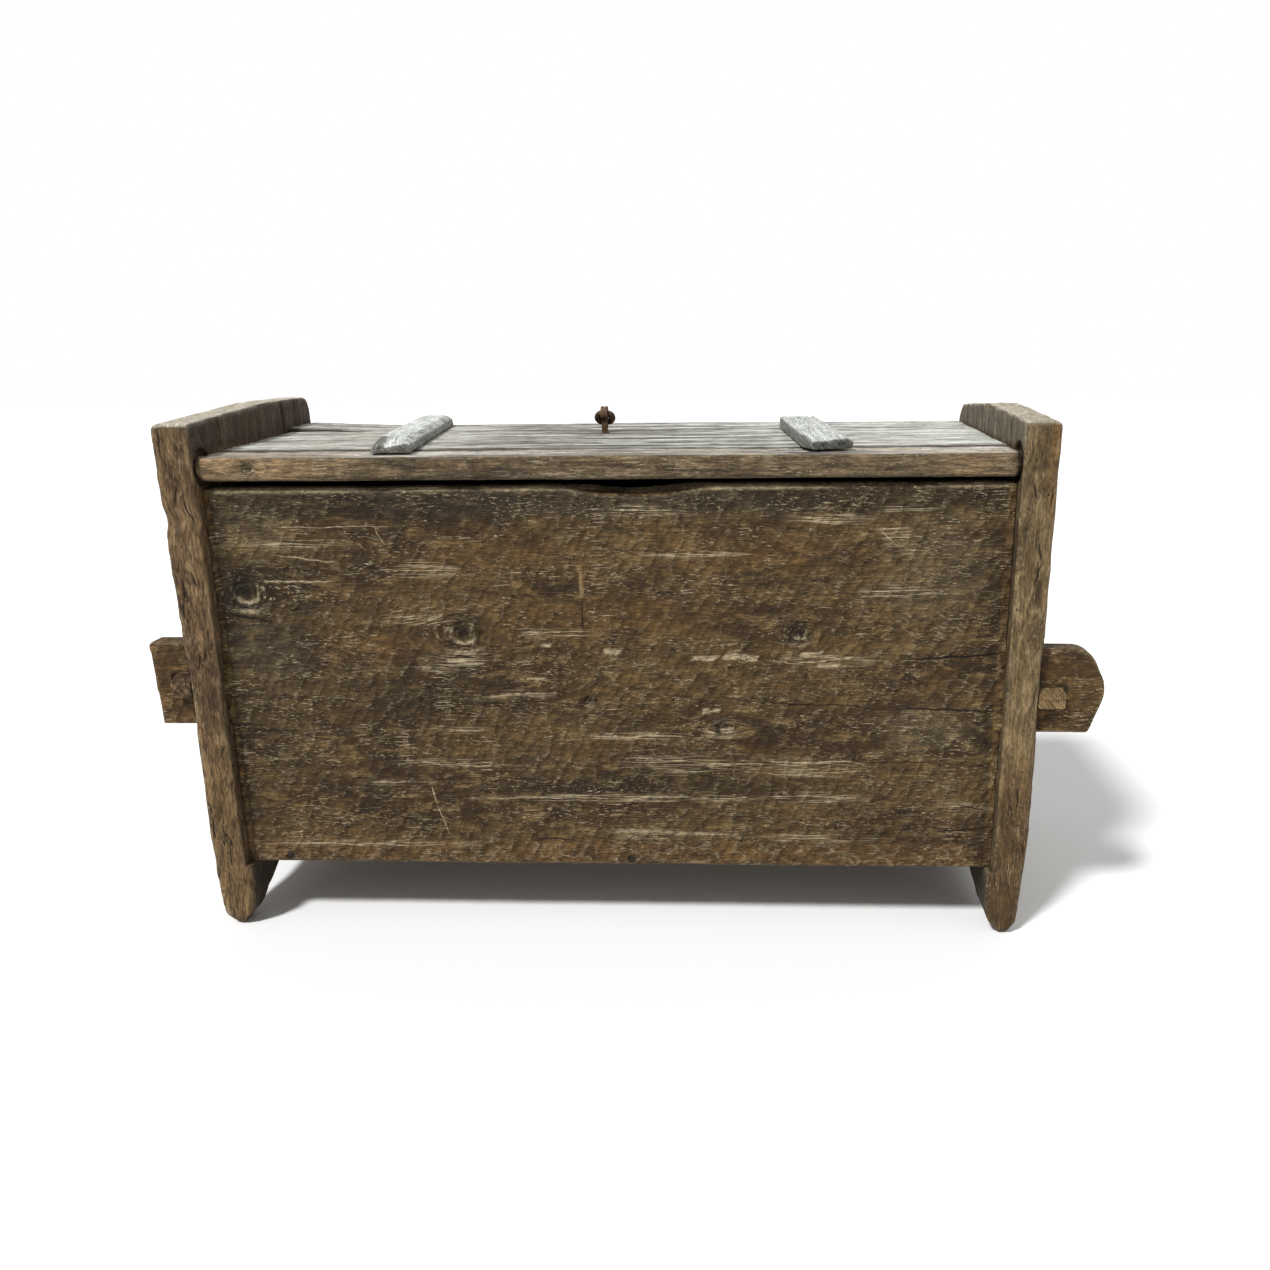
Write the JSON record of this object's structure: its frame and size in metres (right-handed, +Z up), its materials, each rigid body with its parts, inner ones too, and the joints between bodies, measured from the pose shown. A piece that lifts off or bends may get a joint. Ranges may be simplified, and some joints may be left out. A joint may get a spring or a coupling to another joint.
{
  "type": "plank chest",
  "caption": "Old hand-hewn plank chest: end boards run down into feet, wedged through tenons hold the side planks, and a battened lid turns on wooden pintles.",
  "frame": {"origin": "on the ground under the middle of the overall bounding box", "axes": "+Z up, +X along the chest, +Y from the hinge side to the opening side"},
  "size_m": [1.3457, 0.46, 0.7547],
  "materials": {
    "hewn_wood": "weathered, adze-hewn",
    "end_wood": "weathered, adze-hewn",
    "floor_wood": "rough sawn",
    "rail_wood": "weathered",
    "lid_wood": "silvery, weathered",
    "batten_wood": "pale grey, weathered",
    "peg_wood": "end grain",
    "wedge_wood": "worn",
    "wrought_iron": "rusted"
  },
  "bodies": {
    "carcass": {"right_end_board": "end_wood", "left_end_board": "end_wood", "hinge_side_plank": "hewn_wood", "opening_side_plank": "hewn_wood", "floor_board_1": "floor_wood", "floor_board_2": "floor_wood", "floor_board_3": "floor_wood", "hinge_side_nails": "wrought_iron", "opening_side_nails": "wrought_iron"},
    "right_hinge_side_wedge": {"right_hinge_side_wedge": "wedge_wood"},
    "right_opening_side_wedge": {"right_opening_side_wedge": "wedge_wood"},
    "left_hinge_side_wedge": {"left_hinge_side_wedge": "wedge_wood"},
    "left_opening_side_wedge": {"left_opening_side_wedge": "wedge_wood"},
    "lid": {"lid_hinge_rail": "rail_wood", "lid_main_plank": "lid_wood", "lid_free_board": "lid_wood", "lid_left_batten": "batten_wood", "lid_right_batten": "batten_wood", "lid_left_pegs": "peg_wood", "lid_right_pegs": "peg_wood", "lid_rail_dowels": "peg_wood", "lid_edge_dowels": "peg_wood", "eye_pin": "wrought_iron"},
    "pull_ring": {"pull_ring": "wrought_iron"}
  },
  "joints": [
    {"name": "lid_hinge", "type": "hinge", "parent": "carcass", "child": "lid", "pos_m": [-0.016, -0.198, 0.681], "axis": [1, 0, 0], "range_deg": [0, 129]},
    {"name": "ring_swing", "type": "hinge", "parent": "lid", "child": "pull_ring", "pos_m": [-0.042, 0.06525, 0.73114], "axis": [1, 0, 0], "range_deg": [0, 287]},
    {"name": "right_hinge_side_wedge_slide", "type": "slide", "parent": "carcass", "child": "right_hinge_side_wedge", "axis": [0, -1, 0], "range_m": [0, 0.055]},
    {"name": "right_opening_side_wedge_slide", "type": "slide", "parent": "carcass", "child": "right_opening_side_wedge", "axis": [0, 1, 0], "range_m": [0, 0.055]},
    {"name": "left_hinge_side_wedge_slide", "type": "slide", "parent": "carcass", "child": "left_hinge_side_wedge", "axis": [0, -1, 0], "range_m": [0, 0.055]},
    {"name": "left_opening_side_wedge_slide", "type": "slide", "parent": "carcass", "child": "left_opening_side_wedge", "axis": [0, 1, 0], "range_m": [0, 0.055]}
  ]
}
